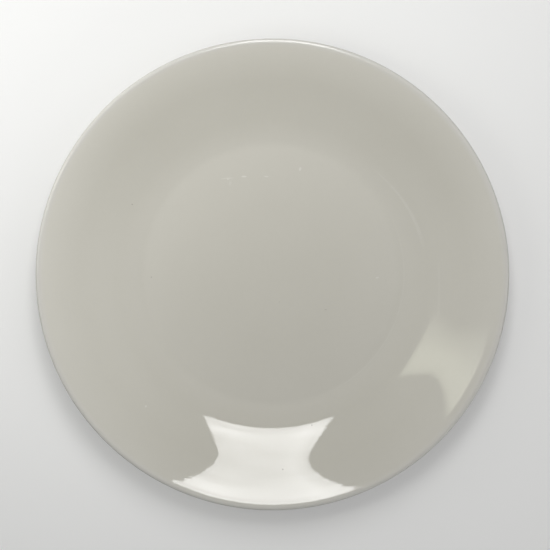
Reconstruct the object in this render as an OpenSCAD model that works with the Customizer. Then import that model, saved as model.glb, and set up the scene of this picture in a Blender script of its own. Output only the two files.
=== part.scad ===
// A coupe dinner plate: a flat well, a side that sweeps up in one curve with no separate rim,
// a soft flare and a rounded lip. It stands on a foot ring, with its axis along Z.
// The fired body and its two coats of glaze are separate solids that share their faces.

/* [Plate] */
// Diameter over the lip
plate_d = 270; // [240:1:300]
// Diameter of the flat floor of the well
well_d = 148; // [125:1:160]
// Thickness of the side, with its glaze
wall_t = 4; // [3.4:0.1:5.5]
// Thickness of the well's floor, with its glaze
floor_t = 4.5; // [3.5:0.1:6]

/* [Face] */
// Radius of the crease round the well
crease_radius = 20; // [10:1:40]
// Slope of the side just outside the crease, in degrees
crease_slope = 11.5; // [4:0.5:16]
// Steepest slope of the side, in degrees
steep_slope = 24; // [23:1:32]
// Width of the straight stretch at that slope
steep_w = 6; // [2:0.5:12]
// Width of the flare, from there out to the lip
flare_w = 18.4; // [12:0.2:24]
// Slope of the flare where it meets the lip, in degrees
lip_slope = 20; // [12:1:22]

/* [Lip] */
// Radius over the crown of the lip
crown_radius = 2.8; // [2:0.1:6]
// Fall of the crown towards the edge, in degrees
crown_fall = 15; // [5:1:25]
// Radius of the upper edge
edge_radius = 1.35; // [0.8:0.05:1.6]
// Radius of the edge's underside
under_edge_radius = 1.8; // [0.8:0.1:2.2]

/* [Foot ring] */
// Distance of the foot ring's outer side from the flat floor of the well
foot_out = 5.5; // [3:0.5:9]
// Width of the foot ring where it stands
foot_w = 4.4; // [3.4:0.1:7]
// Slant of the foot ring's sides, in degrees
foot_slant = 15; // [5:1:25]
// Depth of the recess inside the foot ring
recess_h = 2; // [1.6:0.1:3]
// Radius between the foot ring and the back
foot_fillet = 2.2; // [0.8:0.1:3]
// Radius between the foot ring and the recess
recess_fillet = 1.1; // [0.5:0.1:2]
// Radius of the bare edges that the foot ring stands on
base_radius = 0.5; // [0.2:0.1:0.8]

/* [Glaze] */
// Thickness of the glaze
glaze_t = 0.3; // [0.15:0.05:0.4]
// Height of the bare band up the foot ring's sides
bare_h = 0.9; // [0.7:0.1:1.2]

/* [Hidden] */

// How far a straight step may stray from a round outline, and the sides of a turned solid
sag = 0.004;
turn_sides = 180;
// Points nearer than this are one point
same_point = 0.002;
// A straight stretch that stays beside a fillet which its wall limits
least_flat = 0.05;

plate_r = plate_d / 2;
well_r = well_d / 2;
well_z = recess_h + floor_t;

// Direction at an angle in the radius and height plane, and the angle of a direction
function dir(angle) = [cos(angle), sin(angle)];
function angle_of(v) = atan2(v[1], v[0]);

// The way out of the face where it slopes up by a given angle, and out of the back there
function face_dir(slope) = 90 + slope;
function back_dir(slope) = slope - 90;

// An arc of an outline is [centre, radius, first direction, last direction]. The directions point out of the
// solid, and the radius is below zero where the outline is hollow. An inset moves it into the solid.
function arc_steps(arc) =
    max(2, ceil(abs(arc[3] - arc[2]) / (2 * acos(1 - sag / abs(arc[1])))));
function arc_points(arc, inset) =
    let (steps = arc_steps(arc))
    [for (i = [0 : steps])
        arc[0] + (arc[1] - inset) * dir(arc[2] + (arc[3] - arc[2]) * i / steps)];
function outline(arcs, inset) = [for (arc = arcs) each arc_points(arc, inset)];
function reversed(points) = [for (i = [len(points) - 1 : -1 : 0]) points[i]];
function distinct(points) =
    [for (i = [0 : len(points) - 1])
        if (i == 0 || norm(points[i] - points[i - 1]) > same_point) points[i]];

// Lip: its width, and where the flare meets it
lip_w = crown_radius * (sin(lip_slope) + sin(crown_fall)) + edge_radius * (1 - sin(crown_fall));
lip_r = plate_r - lip_w;
steep_r = lip_r - flare_w - steep_w;

// Face, from the well outwards
crease_c = [well_r, well_z + crease_radius];
crease_end = crease_c - crease_radius * dir(face_dir(crease_slope));
cove_radius = (steep_r - crease_end[0]) / (sin(steep_slope) - sin(crease_slope));
cove_c = crease_end + cove_radius * dir(face_dir(crease_slope));
steep_p = cove_c - cove_radius * dir(face_dir(steep_slope));
flare_radius = flare_w / (sin(steep_slope) - sin(lip_slope));
flare_p = steep_p + steep_w * [1, tan(steep_slope)];
flare_c = flare_p - flare_radius * dir(face_dir(steep_slope));
lip_p = flare_c + flare_radius * dir(face_dir(lip_slope));
crown_c = lip_p - crown_radius * dir(face_dir(lip_slope));
edge_c = crown_c + (crown_radius - edge_radius) * dir(face_dir(-crown_fall));

// Underside of the lip, whose radius the thickness of the side limits
lip_back = lip_p - wall_t * dir(face_dir(lip_slope));
under_edge_limit = (edge_c[1] - lip_p[1] + wall_t / cos(lip_slope) - lip_w * tan(lip_slope) - least_flat)
    * cos(lip_slope) / (1 - sin(lip_slope));
under_edge = min(under_edge_radius, under_edge_limit);
under_edge_start = plate_r - under_edge * (1 - sin(lip_slope));
under_edge_c = [
    plate_r - under_edge,
    lip_back[1] + (under_edge_start - lip_back[0]) * tan(lip_slope) + under_edge * cos(lip_slope)
];

// Foot ring: its two sides slant together towards the base
foot_r = well_r + foot_out;
foot_in_r = foot_r - foot_w;
foot_side = -foot_slant;
recess_side = 180 + foot_slant;
foot_reach = foot_r * cos(foot_slant);
recess_reach = -foot_in_r * cos(foot_slant);

// Fillet between the foot ring and the back of the cove, which the height above the bare band limits
back_radius = cove_radius + wall_t;
foot_off = foot_reach - cove_c * dir(foot_side);
foot_corner = cove_c + foot_off * dir(foot_side)
    - sqrt(pow(back_radius, 2) - pow(foot_off, 2)) * dir(foot_side + 90);
foot_turn = foot_side - angle_of(foot_corner - cove_c);
foot_fillet_limit = (foot_corner[1] - bare_h - least_flat) / (tan(foot_turn / 2) * cos(foot_slant));
foot_round = min(foot_fillet, foot_fillet_limit);
foot_fillet_off = foot_off + foot_round;
foot_fillet_drop = sqrt(pow(back_radius + foot_round, 2) - pow(foot_fillet_off, 2));
foot_fillet_c = cove_c + foot_fillet_off * dir(foot_side) - foot_fillet_drop * dir(foot_side + 90);
foot_fillet_end = angle_of(foot_fillet_c - cove_c);

// Fillet between the foot ring and the recess, which the height above the bare band limits
recess_fillet_limit = (recess_h - bare_h - least_flat) / (1 - sin(foot_slant));
recess_round = min(recess_fillet, recess_fillet_limit);
recess_fillet_c = [
    -(recess_reach + recess_round + (recess_h - recess_round) * sin(foot_slant)) / cos(foot_slant),
    recess_h - recess_round
];

// Outlines as arcs: the coat from the foot ring's outer side round the lip to the well, the recess from its
// floor to the foot ring's inner side, and the bare edges of the base between them
coat_arcs = [
    [foot_fillet_c, -foot_round, foot_side, foot_fillet_end],
    [cove_c, back_radius, foot_fillet_end, back_dir(steep_slope)],
    [flare_c, wall_t - flare_radius, back_dir(steep_slope), back_dir(lip_slope)],
    [under_edge_c, under_edge, back_dir(lip_slope), 0],
    [edge_c, edge_radius, 0, face_dir(-crown_fall)],
    [crown_c, crown_radius, face_dir(-crown_fall), face_dir(lip_slope)],
    [flare_c, flare_radius, face_dir(lip_slope), face_dir(steep_slope)],
    [cove_c, -cove_radius, face_dir(steep_slope), face_dir(crease_slope)],
    [crease_c, -crease_radius, face_dir(crease_slope), face_dir(0)]
];
recess_arcs = [[recess_fillet_c, -recess_round, 270, recess_side]];
base_arcs = [
    [base_centre(-1, recess_reach), base_radius, recess_side, 270],
    [base_centre(1, foot_reach), base_radius, -90, foot_side]
];

// Centre of a bare edge of the base, on the outer side or the inner one of the foot ring
function base_centre(side, reach) = [
    side * (reach - glaze_t - base_radius * (1 - sin(foot_slant))) / cos(foot_slant),
    base_radius
];

// Where a coat ends on a side of the foot ring
function bare_line(side, r, inset) =
    [r + side * bare_h * tan(foot_slant), bare_h]
        - inset * dir(side > 0 ? foot_side : recess_side);

// The outlines of the coats as they lie on the body, which the body and the coats share
coat_bed = outline(coat_arcs, glaze_t);
recess_bed = outline(recess_arcs, glaze_t);

module turned(points) {
    rotate_extrude($fn = turn_sides)
        polygon(distinct(points));
}

// Fired clay body with its foot ring
module plate_body() {
    color("#e6dfd0")
        turned([
            [0, recess_h + glaze_t],
            each recess_bed,
            each outline(base_arcs, 0),
            each coat_bed,
            [0, well_z - glaze_t]
        ]);
}

// Glaze over the face, the lip and the back, down to the foot ring's bare band
module glaze_coat() {
    color("#d3d1c7")
        turned([
            bare_line(1, foot_r, 0),
            each outline(coat_arcs, 0),
            [0, well_z],
            [0, well_z - glaze_t],
            each reversed(coat_bed),
            bare_line(1, foot_r, glaze_t)
        ]);
}

// Glaze inside the foot ring
module base_glaze() {
    color("#d3d1c7")
        turned([
            [0, recess_h],
            each outline(recess_arcs, 0),
            bare_line(-1, foot_in_r, 0),
            bare_line(-1, foot_in_r, glaze_t),
            each reversed(recess_bed),
            [0, recess_h + glaze_t]
        ]);
}

plate_body();
glaze_coat();
base_glaze();
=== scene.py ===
import math
from collections import namedtuple

import bpy
from mathutils import Matrix, Vector

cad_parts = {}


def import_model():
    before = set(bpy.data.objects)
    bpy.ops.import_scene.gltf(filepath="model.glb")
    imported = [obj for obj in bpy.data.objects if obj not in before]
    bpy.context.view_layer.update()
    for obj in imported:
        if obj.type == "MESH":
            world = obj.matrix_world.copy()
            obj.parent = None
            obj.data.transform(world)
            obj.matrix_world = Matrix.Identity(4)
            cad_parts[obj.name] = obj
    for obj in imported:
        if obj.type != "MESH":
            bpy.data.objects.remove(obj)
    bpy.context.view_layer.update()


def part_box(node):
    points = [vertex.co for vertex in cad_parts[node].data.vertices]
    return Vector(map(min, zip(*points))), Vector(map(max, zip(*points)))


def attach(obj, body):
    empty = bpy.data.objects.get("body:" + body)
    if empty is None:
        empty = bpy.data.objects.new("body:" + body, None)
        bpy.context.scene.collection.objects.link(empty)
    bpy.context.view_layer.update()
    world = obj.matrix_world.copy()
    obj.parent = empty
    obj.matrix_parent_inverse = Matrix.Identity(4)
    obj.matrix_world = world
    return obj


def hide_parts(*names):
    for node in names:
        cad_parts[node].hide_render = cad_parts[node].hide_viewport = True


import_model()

# A glazed coupe dinner plate: the glaze over its face and back, the glaze in its recess and the fired body
# are lathed as fine meshes from the same arcs as the CAD solids. Angles are degrees. The shapes are in
# metres, and the lamps and finishes in millimetres.

MM = 0.001
MICRON = 1e-6

# Sizes read from the frame
coat_low, coat_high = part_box("glaze_coat")
recess_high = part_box("base_glaze")[1]
PLATE_R = coat_high.x
BARE_H = coat_low.z

# Face and lip
GLAZE_T = 0.3 * MM
WELL_R = 74 * MM
WALL_T = 4 * MM
FLOOR_T = 4.5 * MM
CREASE_RADIUS = 20 * MM
CREASE_SLOPE = 11.5
STEEP_SLOPE = 24
STEEP_W = 6 * MM
FLARE_W = 18.4 * MM
LIP_SLOPE = 20
CROWN_RADIUS = 2.8 * MM
CROWN_FALL = 15
EDGE_RADIUS = 1.35 * MM
UNDER_EDGE_RADIUS = 1.8 * MM

# Foot ring
RECESS_H = recess_high.z - GLAZE_T
FOOT_R = WELL_R + 5.5 * MM
FOOT_W = 4.4 * MM
FOOT_SLANT = 15
FOOT_FILLET = 2.2 * MM
RECESS_FILLET = 1.1 * MM
BASE_RADIUS = 0.5 * MM

# Fineness of the meshes: sides of a ring, spacing of the rings where they show and where they don't, the most
# that an outline turns from one ring to the next, the share by which a step may be too long, and the distance
# under which two points are one
SIDES = 256
SHOWN_STEP = 1.2 * MM
HIDDEN_STEP = 4 * MM
TURN_STEP = 7
STEP_SLACK = 0.01
SAME_POINT = 0.01 * MM

# How uneven a turned and fired plate is: the sag of its lip, and the lift of the line where its glaze ends.
# Each has a mean and waves, with their count round the plate, their height and the angle they start from.
Wave = namedtuple("Wave", "count height start")
LIP_SAG = 0.033 * MM
LIP_WAVES = [Wave(2, 0.018 * MM, 40.1), Wave(3, 0.012 * MM, 120.3)]
GLAZE_LIFT = 0.08 * MM
GLAZE_WAVES = [Wave(5, 0.04 * MM, -90), Wave(13, 0.024 * MM, -15.5), Wave(29, 0.016 * MM, -67.1)]

# Camera: how far it stands from the middle of the lip's ring, how far it leans from the plate's axis, and the
# scale and the place of that middle in the picture
IMAGE_SIZE = 550
SENSOR_W = 36
CAMERA_DISTANCE = 900 * MM
CAMERA_LEAN = 5.2
PIXELS_PER_MM = 1.7544
LIP_MIDDLE_PX = (272.42, 277.61)

# Lamps are flat panels that the camera doesn't see. A panel's corner is given from the middle of the lip's
# ring. The panel runs along its turn from +X, rising by an angle, and across to the left of that, falling by
# another. A glow says how its light changes: what shares of its radiance it gives at places along it and
# across it, where across the panel it starts at places along it, and how strongly its cloth's folds show.
WHITE = (1, 1, 1)
WARM = (0.98, 1, 0.8)
Panel = namedtuple("Panel", "corner turn rise fall size radiance colour glow", defaults=(WHITE, None))
Glow = namedtuple("Glow", "along across start folds", defaults=({0: 0.0}, 0.0))
MAIN_GLOW = Glow(
    along={0: 0.97, 12: 0.98, 20: 1.05, 32: 1.17, 44: 1.06, 60: 1.0, 150: 1.0, 170: 0.96, 191: 0.91},
    across={
        0: 1.04, 10: 1.12, 26: 1.14, 34: 1.28, 40: 1.4, 47: 1.26, 55: 1.34, 68: 1.18, 95: 1.1, 130: 1.04,
        220: 1.0,
    },
    start={0: 1, 15: 5, 30: 12, 60: 20, 85: 23.5, 110: 24.5, 135: 23, 165: 20, 191: 18},
    folds=0.12,
)
SIDE_GLOW = Glow(
    along={0: 0.3, 4: 0.7, 14: 1.0},
    across={
        0: 0.1, 4: 0.36, 11: 0.8, 20: 0.95, 45: 1.0, 62: 0.97, 72: 0.78, 87: 0.62, 102: 0.48, 117: 0.24,
        132: 0.03, 140: 0.0,
    },
)
SOFT_GLOW = Glow(
    along={0: 0.0, 80: 0.1, 220: 0.9, 300: 1.0, 380: 0.9, 520: 0.1, 600: 0.0},
    across={0: 0.0, 110: 0.1, 290: 0.9, 400: 1.0, 510: 0.9, 690: 0.1, 800: 0.0},
)
LAMPS = {
    "main_lamp": Panel((-89.5, 144, 600), -4.2, 0, 0, (191, 520), 8.0, WHITE, MAIN_GLOW),
    "side_lamp": Panel((-199, 103, 599), 162.2, 8.4, 22, (344, 140), 3.0, WARM, SIDE_GLOW),
    "right_fill": Panel((40, -400, 650), 0, -30, 0, (600, 800), 1.15, WHITE, SOFT_GLOW),
    "left_fill": Panel((-40, 400, 650), 180, -30, 0, (600, 800), 0.85, WHITE, SOFT_GLOW),
    "top_fill": Panel((200, 325, 330), 90, -60, 0, (300, 400), 0.4),
    "near_fill": Panel((-90, 225, 254), 150, -60, 0, (240, 300), 1.0),
    "far_fill": Panel((550, -2055, 1335), -45, -55, 0, (1425, 2130), 1.05),
}
# Width of the cloth's folds, and how many times as long they are
FOLD_W = 13
FOLD_STRETCH = 10

# Light of the sky on the object and as it is seen, the glow of the floor as it is seen, and half the
# floor's width in metres
SKY = 0.05
SKY_SEEN = 0.6
FLOOR_SEEN = 0.25
FLOOR_HALF_M = 5.0

# Colours, as shares of light given back
GLAZE_COLOUR = (0.599, 0.582, 0.518)
SPECK_COLOUR = (0.16, 0.13, 0.09)
# Colour of the pale marks and of the painted glints
PALE_MARK_AND_GLINT_COLOUR = (0.8, 0.79, 0.75)
CLAY_COLOUR = (0.80, 0.75, 0.65)
IRON_COLOUR = (0.30, 0.20, 0.11)
SCUFF_COLOUR = (0.42, 0.40, 0.36)
FLOOR_COLOUR = (0.65, 0.65, 0.64)

# Roughness, how much patches, scratches and marks add to it and scuffs take from it, and refraction
GLAZE_ROUGHNESS = 0.03
PATCH_DULLING = 0.02
SCRATCH_DULLING = 0.12
MARK_DULLING = 0.2
CLAY_ROUGHNESS = 0.86
SCUFF_SMOOTHING = 0.25
FLOOR_ROUGHNESS = 0.8
CERAMIC_IOR = 1.5

# Spacing of what changes over a surface: slow and fine mottling and duller patches of the glaze, the ragged
# edges of its marks and the weak places of its fine lines, and the blotches and scuffs of the clay
SLOW_STEP = 36
FINE_STEP = 2.4
PATCH_STEP = 28
RAGGED_STEP = 0.5
WEAK_STEP = 2.5
BLOTCH_STEP = 9
SCUFF_STEP = 5

# Relief of the glaze: the spacing of its features, and their height in microns. The turning rings wander off
# round, and their share of the height is given at some radii.
SWELL_STEP = 60
SWELL_HEIGHT = 50
PEEL_STEP = 2.9
PEEL_HEIGHT = 4
RING_STEP = 1.8
RING_HEIGHT = 7
RING_SHARES = {0: 0.1, 85: 0.15, 92: 0.5, 104: 0.4, 116: 1.0}
WANDER = 3
WANDER_STEP = 110
MARK_HEIGHT = 30

# Painted light and shade at some radii: the glaze is painted paler round the well and on the lip, where light
# falls brighter, and darker down the steep side, where it falls dimmer. Then how far in from the edge the lip
# starts to be painted whiter, a painted light on its edge, and is whitest, and how far out from the edge of
# the well its cutlery scratches start to fade and are gone.
PAINTED_LIGHT_BY_RADIUS = {0: 0.5, 40: 0.55, 72: 1.0, 79: 0.8, 90: 0.1, 112: 0.1, 121: 0.5, 130: 1.1}
PAINTED_LIGHT_LIP = (5, 1)
WEAR_FADE = (-12, 4)

# Relief of the bare clay: the spacing of its features, and their height in microns
GRAIN_STEP = 0.5
GRAIN_HEIGHT = 60
LUMP_STEP = 1.6
LUMP_HEIGHT = 40

# Flecks are scattered over a surface: their spacing, the radii inside which they are whole and past which
# they are gone, their strength, and the level that a random value has to pass for a fleck to be there
Flecks = namedtuple("Flecks", "spacing whole gone strength level")
TINY_SPECKS = Flecks(11, 0.088, 0.176, 0.5, 0.55)
IRON_FLECKS = Flecks(2.2, 0.11, 0.264, 0.7, 0.6)

# Marks on the face, each an oval with its middle, the turn of its length and its strength
Mark = namedtuple("Mark", "x y turn half_length half_width strength")
DARK_SPECKS = [
    Mark(-81, 41, 0, 0.45, 0.45, 0.5),
    Mark(-70.5, -1.5, 0, 0.4, 0.4, 0.5),
    Mark(23, -88, 80, 0.7, 0.5, 0.5),
    Mark(6, -112.5, 0, 0.6, 0.6, 0.5),
    Mark(31, -20.5, 0, 0.9, 0.4, 0.2),
    Mark(4, -16, 0, 0.35, 0.35, 0.2),
]
LIGHT_MARKS = [
    Mark(-26, 56, 4, 4.5, 0.5, 0.25),
    Mark(-25.7, 55.7, 0, 1, 0.8, 0.4),
    Mark(-24.5, 53, 70, 1.8, 0.9, 0.15),
    Mark(-16.5, 57, 0, 2, 0.6, 0.5),
    Mark(-3.5, 57, -8, 1.8, 0.5, 0.4),
    Mark(16, 61.3, 80, 1.4, 0.8, 0.45),
    Mark(61, -1.8, 5, 1.3, 0.6, 0.35),
    Mark(-73.5, -76, 0, 0.8, 0.8, 0.35),
]

# Painted glints: fine pale curved lines on the face where the glaze catches the lamps, each along a circle
# with its middle and radius, clockwise from a first turn to a last, with the half widths there and its
# strength
GlintLine = namedtuple("GlintLine", "x y radius first last first_w last_w strength")
PAINTED_GLINT_LINES = [
    GlintLine(10, -2.5, 79.8, 55, 11, 0.5, 1.6, 0.14),
    GlintLine(0, 0, 76.6, 35, -80, 0.5, 0.5, 0.1),
    GlintLine(-182, -9, 278.5, 4, -4, 0.6, 1.2, 0.07),
]

# Scratches of cutlery in the well: their turns, their width and how many times as long they are
SCRATCH_TURNS = (17, 58, 104, 149)
SCRATCH_W = 0.5
SCRATCH_STRETCH = 50


def sin(angle):
    return math.sin(math.radians(angle))


def cos(angle):
    return math.cos(math.radians(angle))


def tan(angle):
    return math.tan(math.radians(angle))


def unit(angle):
    """Direction at an angle in the plane of radius and height."""
    return Vector((cos(angle), sin(angle)))


def level(turn):
    """Level direction at a turn from +X."""
    return Vector((cos(turn), sin(turn), 0))


def face_dir(slope):
    """The way out of the face where it slopes up by that angle."""
    return 90 + slope


def back_dir(slope):
    """The way out of the back where it slopes up by that angle."""
    return slope - 90


Arc = namedtuple("Arc", "centre radius first last")


def arc_points(arc, inset, step):
    """Points along an arc, moved into the solid by an inset. A radius below zero is a hollow stretch."""
    radius = arc.radius - inset
    turn = arc.last - arc.first
    length = math.radians(abs(turn)) * abs(radius)
    count = max(2, math.ceil(abs(turn) / TURN_STEP), math.ceil(length / step))
    return [arc.centre + radius * unit(arc.first + turn * i / count) for i in range(count + 1)]


def outline(arcs, inset, step):
    return [p for arc in arcs for p in arc_points(arc, inset, step)]


def filled(points, step):
    """The same outline with points added along its straight stretches, and none twice."""
    made = [points[0]]
    for p in points[1:]:
        start = made[-1]
        span = (p - start).length
        if span > SAME_POINT:
            count = math.ceil(span / step - STEP_SLACK)
            made += [start.lerp(p, i / count) for i in range(1, count + 1)]
    return made


# Face, from the well outwards
well_z = RECESS_H + FLOOR_T
lip_w = CROWN_RADIUS * (sin(LIP_SLOPE) + sin(CROWN_FALL)) + EDGE_RADIUS * (1 - sin(CROWN_FALL))
steep_r = PLATE_R - lip_w - FLARE_W - STEEP_W
crease_c = Vector((WELL_R, well_z + CREASE_RADIUS))
crease_end = crease_c - CREASE_RADIUS * unit(face_dir(CREASE_SLOPE))
cove_radius = (steep_r - crease_end.x) / (sin(STEEP_SLOPE) - sin(CREASE_SLOPE))
cove_c = crease_end + cove_radius * unit(face_dir(CREASE_SLOPE))
steep_p = cove_c - cove_radius * unit(face_dir(STEEP_SLOPE))
flare_radius = FLARE_W / (sin(STEEP_SLOPE) - sin(LIP_SLOPE))
flare_p = steep_p + STEEP_W * Vector((1, tan(STEEP_SLOPE)))
flare_c = flare_p - flare_radius * unit(face_dir(STEEP_SLOPE))
lip_p = flare_c + flare_radius * unit(face_dir(LIP_SLOPE))
crown_c = lip_p - CROWN_RADIUS * unit(face_dir(LIP_SLOPE))
edge_c = crown_c + (CROWN_RADIUS - EDGE_RADIUS) * unit(face_dir(-CROWN_FALL))
lip_middle = Vector((0, 0, edge_c.y))

# Underside of the lip
lip_back = lip_p - WALL_T * unit(face_dir(LIP_SLOPE))
under_start = PLATE_R - UNDER_EDGE_RADIUS * (1 - sin(LIP_SLOPE))
under_c = Vector((
    PLATE_R - UNDER_EDGE_RADIUS,
    lip_back.y + (under_start - lip_back.x) * tan(LIP_SLOPE) + UNDER_EDGE_RADIUS * cos(LIP_SLOPE),
))

# Foot ring, whose two sides slant together towards the base
foot_in_r = FOOT_R - FOOT_W
foot_side = -FOOT_SLANT
recess_side = 180 + FOOT_SLANT
foot_reach = FOOT_R * cos(FOOT_SLANT)
recess_reach = -foot_in_r * cos(FOOT_SLANT)
back_radius = cove_radius + WALL_T
fillet_off = foot_reach - cove_c.dot(unit(foot_side)) + FOOT_FILLET
fillet_drop = math.sqrt((back_radius + FOOT_FILLET) ** 2 - fillet_off ** 2)
fillet_c = cove_c + fillet_off * unit(foot_side) - fillet_drop * unit(foot_side + 90)
fillet_end = math.degrees(math.atan2(fillet_c.y - cove_c.y, fillet_c.x - cove_c.x))
recess_fillet_c = Vector((
    -(recess_reach + RECESS_FILLET + (RECESS_H - RECESS_FILLET) * sin(FOOT_SLANT)) / cos(FOOT_SLANT),
    RECESS_H - RECESS_FILLET,
))


def base_centre(side, reach):
    """Centre of a bare edge of the base, on the outer side of the foot ring or the inner one."""
    inset = GLAZE_T + BASE_RADIUS * (1 - sin(FOOT_SLANT))
    return Vector((side * (reach - inset) / cos(FOOT_SLANT), BASE_RADIUS))


# The coat from the foot ring's outer side round the lip to the well, the recess from its floor to the foot
# ring's inner side, and the bare edges of the base between them
coat_arcs = [
    Arc(fillet_c, -FOOT_FILLET, foot_side, fillet_end),
    Arc(cove_c, back_radius, fillet_end, back_dir(STEEP_SLOPE)),
    Arc(flare_c, WALL_T - flare_radius, back_dir(STEEP_SLOPE), back_dir(LIP_SLOPE)),
    Arc(under_c, UNDER_EDGE_RADIUS, back_dir(LIP_SLOPE), 0),
    Arc(edge_c, EDGE_RADIUS, 0, face_dir(-CROWN_FALL)),
    Arc(crown_c, CROWN_RADIUS, face_dir(-CROWN_FALL), face_dir(LIP_SLOPE)),
    Arc(flare_c, flare_radius, face_dir(LIP_SLOPE), face_dir(STEEP_SLOPE)),
    Arc(cove_c, -cove_radius, face_dir(STEEP_SLOPE), face_dir(CREASE_SLOPE)),
    Arc(crease_c, -CREASE_RADIUS, face_dir(CREASE_SLOPE), face_dir(0)),
]
recess_arcs = [Arc(recess_fillet_c, -RECESS_FILLET, 270, recess_side)]
base_arcs = [
    Arc(base_centre(-1, recess_reach), BASE_RADIUS, recess_side, 270),
    Arc(base_centre(1, foot_reach), BASE_RADIUS, -90, foot_side),
]


def glaze_end(side, r):
    """The rounded end of a coat on a side of the foot ring, from its outer face round to the clay."""
    out = foot_side if side > 0 else recess_side
    radius = GLAZE_T / 2
    on_side = Vector((r + side * BARE_H * tan(FOOT_SLANT), BARE_H))
    up = unit(out + side * 90)
    centre = on_side - radius * unit(out) + radius * up
    return arc_points(Arc(centre, radius, out, out - side * 180), 0, SHOWN_STEP)


def wavy(mean, waves, turn):
    """A height that waves about its mean round the plate."""
    return mean + sum(wave.height * cos(wave.count * turn + wave.start) for wave in waves)


def fired(r, z, turn):
    """Where a point of the outline lies once the plate is fired, at a turn round its axis."""
    out = max(0.0, (r - FOOT_R) / (PLATE_R - FOOT_R))
    sag = out * out * wavy(LIP_SAG, LIP_WAVES, turn)
    return Vector((r * cos(turn), r * sin(turn), z - sag))


def wavering(side):
    """Places a coat whose end on the foot ring strays from level, and fades into the even outline above."""
    def place(r, z, turn):
        near_end = max(0.0, 1 - (z - BARE_H) / BARE_H)
        lift = near_end * wavy(GLAZE_LIFT, GLAZE_WAVES, turn)
        return fired(r + side * lift * tan(FOOT_SLANT), z + lift, turn)
    return place


def added(name, data):
    """An object of a mesh, lamp or camera, put into the scene."""
    made = bpy.data.objects.new(name, data)
    bpy.context.scene.collection.objects.link(made)
    return made


def lathe(name, points, place):
    """A closed solid turned from an outline that runs from axis to axis with the solid on its right."""
    poles = [points[0], points[-1]]
    rings = points[1:-1]
    verts = [place(0.0, pole.y, 0) for pole in poles]
    for p in rings:
        verts += [place(p.x, p.y, 360 * k / SIDES) for k in range(SIDES)]

    def at(ring, k):
        return len(poles) + ring * SIDES + k % SIDES

    last = len(rings) - 1
    faces = []
    for k in range(SIDES):
        faces.append((0, at(0, k), at(0, k + 1)))
        faces.append((1, at(last, k + 1), at(last, k)))
        faces += [(at(i, k), at(i + 1, k), at(i + 1, k + 1), at(i, k + 1)) for i in range(last)]
    mesh = bpy.data.meshes.new(name)
    mesh.from_pydata(verts, [], faces)
    mesh.shade_smooth()
    mesh.update()
    return added(name, mesh)


def on_axis(z):
    return Vector((0, z))


def glazed_coat():
    """Glaze over the face, the lip and the back, down to the foot ring's bare band."""
    shown = [on_axis(well_z), *reversed(outline(coat_arcs, 0, SHOWN_STEP)), *glaze_end(1, FOOT_R)]
    bed = [shown[-1], *outline(coat_arcs, GLAZE_T, HIDDEN_STEP), on_axis(well_z - GLAZE_T)]
    return lathe("glazed_coat", filled(shown, SHOWN_STEP) + filled(bed, HIDDEN_STEP)[1:], wavering(1))


def glazed_recess():
    """Glaze inside the foot ring."""
    end = list(reversed(glaze_end(-1, foot_in_r)))
    bed = [on_axis(RECESS_H + GLAZE_T), *outline(recess_arcs, GLAZE_T, HIDDEN_STEP), end[0]]
    shown = [*end, *reversed(outline(recess_arcs, 0, SHOWN_STEP)), on_axis(RECESS_H)]
    return lathe("glazed_recess", filled(bed, HIDDEN_STEP) + filled(shown, SHOWN_STEP)[1:], wavering(-1))


def fired_body():
    """Fired clay body, which shows as the bare band of its foot ring."""
    bed = [on_axis(well_z - GLAZE_T), *reversed(outline(coat_arcs, GLAZE_T, HIDDEN_STEP))]
    base = reversed(outline(base_arcs, 0, SHOWN_STEP))
    recess = reversed(outline(recess_arcs, GLAZE_T, HIDDEN_STEP))
    ring = filled([bed[-1], *base, *recess], SHOWN_STEP)
    under = filled([ring[-1], on_axis(RECESS_H + GLAZE_T)], HIDDEN_STEP)
    return lathe("fired_body", filled(bed, HIDDEN_STEP) + ring[1:] + under[1:], fired)


def used(sockets):
    """The sockets that a node's settings leave in use."""
    return [socket for socket in sockets if socket.enabled]


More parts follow.
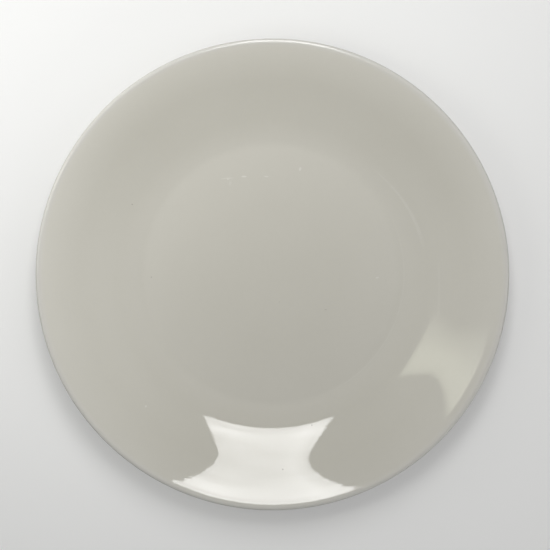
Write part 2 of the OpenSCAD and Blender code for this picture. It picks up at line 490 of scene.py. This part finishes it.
class Nodes:
    """A tree whose nodes are added one by one. Most calls give back what the new node puts out."""

    def __init__(self, owner):
        owner.use_nodes = True
        self.tree = owner.node_tree

    def node(self, kind, **settings):
        made = self.tree.nodes.new(kind)
        for name, value in settings.items():
            setattr(made, name, value)
        return made

    def feed(self, socket, value):
        """Gives an input a value of its own, or what another node puts out."""
        if isinstance(value, bpy.types.NodeSocket):
            self.tree.links.new(value, socket)
        else:
            socket.default_value = value

    def fill(self, made, *values, **named):
        """Feeds a node's inputs in their order, or by their names in Blender with _ for spaces."""
        for socket, value in zip(used(made.inputs), values):
            self.feed(socket, value)
        for name, value in named.items():
            self.feed(made.inputs[name.replace("_", " ")], value)

    def shade(self, shader, **named):
        """Feeds the shader that the tree has from the start."""
        self.fill(self.tree.nodes[shader], **named)

    def vector(self, operation, *values):
        made = self.node("ShaderNodeVectorMath", operation=operation)
        self.fill(made, *values)
        return used(made.outputs)[0]

    def math(self, operation, *values):
        made = self.node("ShaderNodeMath", operation=operation)
        self.fill(made, *values)
        return made.outputs["Value"]

    def total(self, *weighted, start=0.0):
        """Sum of a start and of values, each with its weight."""
        made = start
        for weight, value in weighted:
            made = self.math("MULTIPLY_ADD", value, weight, made)
        return made

    def joined(self, *parts):
        """A vector of three values."""
        made = self.node("ShaderNodeCombineXYZ")
        self.fill(made, *parts)
        return made.outputs["Vector"]

    def ramp(self, value, end, stops):
        """Follows stops from 0 up to an end of a value, in straight steps between them."""
        made = self.node("ShaderNodeValToRGB")
        self.fill(made, self.math("DIVIDE", value, end))
        elements = made.color_ramp.elements
        while len(elements) > len(stops):
            elements.remove(elements[-1])
        while len(elements) < len(stops):
            elements.new(1.0)
        for element, (place, height) in zip(elements, stops.items()):
            element.position = place / end
            element.color = (height, height, height, 1)
        return made.outputs["Color"]

    def noise(self, place, size, detail=1.0):
        """Noise between 0 and 1 whose blotches have about the given size."""
        made = self.node("ShaderNodeTexNoise")
        self.fill(made, Vector=place, Scale=1 / size, Detail=detail)
        return made.outputs["Fac"]

    def ease(self, value, start, end, first=0.0, last=1.0):
        """Goes smoothly from first to last as a value goes from start to end."""
        made = self.node("ShaderNodeMapRange", interpolation_type="SMOOTHSTEP")
        self.fill(made, value, start, end, first, last)
        return made.outputs["Result"]

    def seen(self):
        """1 where the camera looks, also in gloss and through glass, and 0 for light on its way elsewhere."""
        path = self.node("ShaderNodeLightPath").outputs
        made = self.math("MAXIMUM", path["Is Camera Ray"], path["Is Glossy Ray"])
        return self.math("MAXIMUM", made, path["Is Transmission Ray"])


class Finish(Nodes):
    """A material, with a point's place on its piece, its place seen from above, its radius and its height."""

    def __init__(self, name):
        self.material = bpy.data.materials.new(name)
        super().__init__(self.material)
        metres = self.node("ShaderNodeTexCoord").outputs["Object"]
        self.place = self.vector("SCALE", metres, 1 / MM)
        self.flat = self.vector("MULTIPLY", self.place, (1, 1, 0))
        self.radius = self.vector("LENGTH", self.flat)
        self.height = self.vector("DOT_PRODUCT", self.place, (0, 0, 1))

    def bands(self, along, size):
        """Plain noise that changes in one direction only."""
        made = self.node("ShaderNodeTexNoise", noise_dimensions="1D")
        self.fill(made, W=along, Scale=1 / size, Detail=0)
        return made.outputs["Fac"]

    def blend(self, share, colour, other):
        """A colour where a share is 0, the other where it is 1, and a mixture between."""
        made = self.node("ShaderNodeMix", data_type="RGBA")
        self.fill(made, share, colour, other)
        return used(made.outputs)[0]

    def bump(self, height):
        """Normal of a surface whose height is given in microns."""
        made = self.node("ShaderNodeBump")
        self.fill(made, Height=height, Distance=MICRON)
        return made.outputs["Normal"]

    def flecks(self, kind):
        """How much of a fleck lies at a place."""
        made = self.node("ShaderNodeTexVoronoi")
        self.fill(made, Vector=self.place, Scale=1 / kind.spacing)
        whole = kind.whole / kind.spacing
        gone = kind.gone / kind.spacing
        fleck = self.ease(made.outputs["Distance"], whole, gone, kind.strength, 0.0)
        return self.math("MULTIPLY", fleck, self.math("GREATER_THAN", made.outputs["Color"], kind.level))

    def spots(self, marks):
        """How much of a mark lies at a place on the face. A mark fades over its outer half, and is ragged."""
        ragged = self.math("MULTIPLY_ADD", self.noise(self.place, RAGGED_STEP), 0.5, -0.25)
        made = 0.0
        for mark in marks:
            off = self.vector("SUBTRACT", self.flat, (mark.x, mark.y, 0))
            along = self.vector("DOT_PRODUCT", off, level(mark.turn) / mark.half_length)
            across = self.vector("DOT_PRODUCT", off, level(mark.turn + 90) / mark.half_width)
            away = self.math("SQRT", self.total((along, along), (across, across)))
            away = self.math("ADD", away, ragged)
            made = self.math("MAXIMUM", self.ease(away, 0.5, 1.0, mark.strength, 0.0), made)
        return made

    def glint_lines(self, lines):
        """How much of a painted glint, a fine pale curved line, lies at a place on the face. A line fades at
        its sides and towards both ends, and is weak in places."""
        made = 0.0
        for line in lines:
            middle = (line.first + line.last) / 2
            half_chord = line.radius * sin((line.first - line.last) / 2)
            off = self.vector("SUBTRACT", self.flat, (line.x, line.y, 0))
            along = self.vector("DOT_PRODUCT", off, level(middle - 90) / half_chord)
            width = self.ease(along, -1.0, 1.0, line.first_w, line.last_w)
            away = self.math("ABSOLUTE", self.math("SUBTRACT", self.vector("LENGTH", off), line.radius))
            drawn = self.ease(self.math("DIVIDE", away, width), 0.3, 1.0, line.strength, 0.0)
            ends = self.ease(self.math("ABSOLUTE", along), 0.6, 1.0, 1.0, 0.0)
            near_side = self.math("GREATER_THAN", self.vector("DOT_PRODUCT", off, level(middle)), 0.0)
            drawn = self.math("MULTIPLY", drawn, self.math("MULTIPLY", ends, near_side))
            made = self.math("MAXIMUM", drawn, made)
        weak = self.ease(self.noise(self.place, WEAK_STEP, 2), 0.2, 0.6, 0.4, 1.0)
        return self.math("MULTIPLY", made, weak)

    def scratches(self):
        """How much of a fine straight scratch lies at a place. Each direction has noise of its own."""
        made = 0.0
        for turn in SCRATCH_TURNS:
            along = self.vector("DOT_PRODUCT", self.place, level(turn) / SCRATCH_STRETCH)
            across = self.vector("DOT_PRODUCT", self.place, level(turn + 90))
            streaks = self.noise(self.joined(along, across, turn / MM), SCRATCH_W)
            made = self.math("MAXIMUM", self.ease(streaks, 0.70, 0.78), made)
        return made


def tone(colour, share=1.0, green=1.0, blue=1.0):
    """A colour given back more or less, with its green and blue changed against its red."""
    return (colour[0] * share, colour[1] * share * green, colour[2] * share * blue, 1)


def glaze_relief(finish, marks):
    """A broad swell, orange peel, turning rings that wander off round, and the pimples of the light marks."""
    swell = finish.noise(finish.place, SWELL_STEP)
    peel = finish.noise(finish.place, PEEL_STEP)
    wander = finish.noise(finish.place, WANDER_STEP)
    rings = finish.bands(finish.total((WANDER, wander), start=finish.radius), RING_STEP)
    rings = finish.math("MULTIPLY", rings, finish.ramp(finish.radius, PLATE_R / MM, RING_SHARES))
    return finish.bump(finish.total(
        (SWELL_HEIGHT, swell), (RING_HEIGHT, rings), (PEEL_HEIGHT, peel), (MARK_HEIGHT, marks),
    ))


def glaze_colour(finish, marks):
    """Slow and fine mottling, with painted light and shade by radius: paler round the well and on the lip,
    darker down the steep side, and a painted light that whitens the lip's edge. Dark specks are fired into
    it, with pale marks and painted glints along fine lines."""
    # Painted light and shade by radius: paler round the well and on the lip, darker down the steep side
    painted_light = finish.ramp(finish.radius, PLATE_R / MM, PAINTED_LIGHT_BY_RADIUS)
    slow = finish.noise(finish.place, SLOW_STEP, 3)
    fine = finish.noise(finish.place, FINE_STEP, 2)
    paleness = finish.total((0.55, painted_light), (0.3, slow), (0.15, fine))
    deep = tone(GLAZE_COLOUR, 0.94, 0.999, 0.985)
    pale = tone(GLAZE_COLOUR, 1.06, 1.001, 1.01)
    colour = finish.blend(paleness, deep, pale)

    # Painted light: the lip's edge is painted whiter and a little bluer
    lip_light = finish.ease(finish.radius, *(PLATE_R / MM - inwards for inwards in PAINTED_LIGHT_LIP))
    colour = finish.blend(lip_light, colour, tone(GLAZE_COLOUR, 1.08, 1.01, 1.06))

    specks = finish.math("MAXIMUM", finish.spots(DARK_SPECKS), finish.flecks(TINY_SPECKS))
    colour = finish.blend(specks, colour, tone(SPECK_COLOUR))
    # Pale marks, and painted glints along fine lines, in one pale colour
    marks_and_glints = finish.math("MAXIMUM", marks, finish.glint_lines(PAINTED_GLINT_LINES))
    return finish.blend(marks_and_glints, colour, tone(PALE_MARK_AND_GLINT_COLOUR))


def glaze_roughness(finish, marks):
    """Even, a little duller in patches, on the marks and along the scratches of cutlery in the well."""
    in_well = finish.ease(finish.radius, *(WELL_R / MM + outwards for outwards in WEAR_FADE), 1.0, 0.0)
    worn = finish.math("MULTIPLY", in_well, finish.scratches())
    patches = finish.ease(finish.noise(finish.place, PATCH_STEP, 3), 0.45, 0.75)
    return finish.total(
        (PATCH_DULLING, patches), (SCRATCH_DULLING, worn), (MARK_DULLING, marks), start=GLAZE_ROUGHNESS,
    )


def glaze():
    """Glossy off-white glaze over a turned body."""
    finish = Finish("glaze")
    marks = finish.spots(LIGHT_MARKS)
    finish.shade(
        "Principled BSDF",
        Base_Color=glaze_colour(finish, marks),
        Roughness=glaze_roughness(finish, marks),
        IOR=CERAMIC_IOR,
        Normal=glaze_relief(finish, marks),
    )
    return finish.material


def bare_clay():
    """Fired clay without glaze: matt and grainy, smoothed and greyed where it stands."""
    finish = Finish("bare_clay")
    grain = finish.noise(finish.place, GRAIN_STEP, 3)
    lumps = finish.noise(finish.place, LUMP_STEP)
    blotches = finish.noise(finish.place, BLOTCH_STEP, 2)
    paleness = finish.total((0.6, blotches), (0.4, grain))
    deep = tone(CLAY_COLOUR, 0.88, 0.98, 0.94)
    pale = tone(CLAY_COLOUR, 1.06, 1.005, 1.02)
    colour = finish.blend(paleness, deep, pale)
    colour = finish.blend(finish.flecks(IRON_FLECKS), colour, tone(IRON_COLOUR))

    stands = finish.ease(finish.height, 0.05, 0.4, 1.0, 0.0)
    patches = finish.ease(finish.noise(finish.place, SCUFF_STEP, 3), 0.38, 0.62, 0.1, 0.6)
    scuffed = finish.math("MULTIPLY", stands, patches)
    finish.shade(
        "Principled BSDF",
        Base_Color=finish.blend(scuffed, colour, tone(SCUFF_COLOUR)),
        Roughness=finish.total((-SCUFF_SMOOTHING, scuffed), start=CLAY_ROUGHNESS),
        IOR=CERAMIC_IOR,
        Normal=finish.bump(finish.total((GRAIN_HEIGHT, grain), (LUMP_HEIGHT, lumps))),
    )
    return finish.material


def standing(right, up, back, middle):
    """Place of a lamp or camera that looks away from its back."""
    made = Matrix((right, up, back)).transposed().to_4x4()
    made.translation = middle
    return made


def shine(light, panel, corner, along, across):
    """Makes a lamp's light change over its panel as its glow says."""
    glow = panel.glow
    panel_length, panel_width = panel.size
    nodes = Nodes(light)
    off = nodes.vector("SUBTRACT", nodes.node("ShaderNodeNewGeometry").outputs["Position"], corner)
    length = nodes.vector("DOT_PRODUCT", off, along / MM)
    width = nodes.vector("DOT_PRODUCT", off, across / MM)
    width = nodes.math("SUBTRACT", width, nodes.ramp(length, panel_length, glow.start))
    share = nodes.math("GREATER_THAN", width, 0.0)
    share = nodes.math("MULTIPLY", share, nodes.ramp(length, panel_length, glow.along))
    share = nodes.math("MULTIPLY", share, nodes.ramp(width, panel_width, glow.across))
    if glow.folds:
        cloth = nodes.noise(nodes.joined(nodes.math("DIVIDE", length, FOLD_STRETCH), width, 0.0), FOLD_W)
        folds = nodes.ease(cloth, 0.3, 0.7, 1 - glow.folds, 1 + glow.folds)
        share = nodes.math("MULTIPLY", share, folds)
    nodes.shade("Emission", Strength=share)


def panel_light(name, panel):
    ahead = level(panel.turn)
    left = level(panel.turn + 90)
    up = Vector((0, 0, 1))
    along = ahead * cos(panel.rise) + up * sin(panel.rise)
    across = left * cos(panel.fall) - up * sin(panel.fall)
    across = (across - along * across.dot(along)).normalized()
    corner = lip_middle + Vector(panel.corner) * MM
    light = bpy.data.lights.new(name, "AREA")
    light.shape = "RECTANGLE"
    light.size = panel.size[0] * MM
    light.size_y = panel.size[1] * MM
    light.energy = math.pi * panel.radiance * light.size * light.size_y
    light.color = panel.colour
    if panel.glow:
        shine(light, panel, corner, along, across)
    lamp = added(name, light)
    middle = corner + along * light.size / 2 + across * light.size_y / 2
    lamp.matrix_world = standing(along, across, along.cross(across), middle)
    lamp.visible_camera = False


def lamps():
    for name, panel in LAMPS.items():
        panel_light(name, panel)


def world():
    """Faint even light all round, pale where the camera sees it."""
    made = bpy.data.worlds.new("studio")
    nodes = Nodes(made)
    strength = nodes.total((SKY_SEEN - SKY, nodes.seen()), start=SKY)
    nodes.shade("Background", Color=tone(WHITE), Strength=strength)
    bpy.context.scene.world = made


def floor():
    corners = ((-1, -1), (1, -1), (1, 1), (-1, 1))
    mesh = bpy.data.meshes.new("floor")
    mesh.from_pydata([(x * FLOOR_HALF_M, y * FLOOR_HALF_M, 0) for x, y in corners], [], [(0, 1, 2, 3)])
    made = added("floor", mesh)
    finish = Finish("pale_floor")
    finish.shade(
        "Principled BSDF",
        Base_Color=tone(FLOOR_COLOUR),
        Roughness=FLOOR_ROUGHNESS,
        Emission_Color=tone(WHITE),
        Emission_Strength=finish.math("MULTIPLY", finish.seen(), FLOOR_SEEN),
    )
    mesh.materials.append(finish.material)


def camera():
    back = Vector((0, sin(CAMERA_LEAN), cos(CAMERA_LEAN)))
    right = Vector((1, 0, 0))
    up = back.cross(right)
    off_x = (IMAGE_SIZE / 2 - LIP_MIDDLE_PX[0]) / PIXELS_PER_MM * MM
    off_y = (LIP_MIDDLE_PX[1] - IMAGE_SIZE / 2) / PIXELS_PER_MM * MM
    data = bpy.data.cameras.new("camera")
    data.sensor_width = SENSOR_W
    data.lens = PIXELS_PER_MM * CAMERA_DISTANCE / MM * SENSOR_W / IMAGE_SIZE
    made = added("camera", data)
    middle = lip_middle + right * off_x + up * off_y + back * CAMERA_DISTANCE
    made.matrix_world = standing(right, up, back, middle)
    bpy.context.scene.camera = made


camera()
lamps()
world()
floor()
glaze_finish = glaze()
clay_finish = bare_clay()
for piece, node, slot, finish in (
    (glazed_coat(), "glaze_coat", "glaze", glaze_finish),
    (glazed_recess(), "base_glaze", "glaze", glaze_finish),
    (fired_body(), "plate_body", "bare_clay", clay_finish),
):
    piece.data.materials.append(finish)
    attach(piece, "root")
    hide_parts(node)

bpy.context.scene.view_settings.view_transform = "Standard"
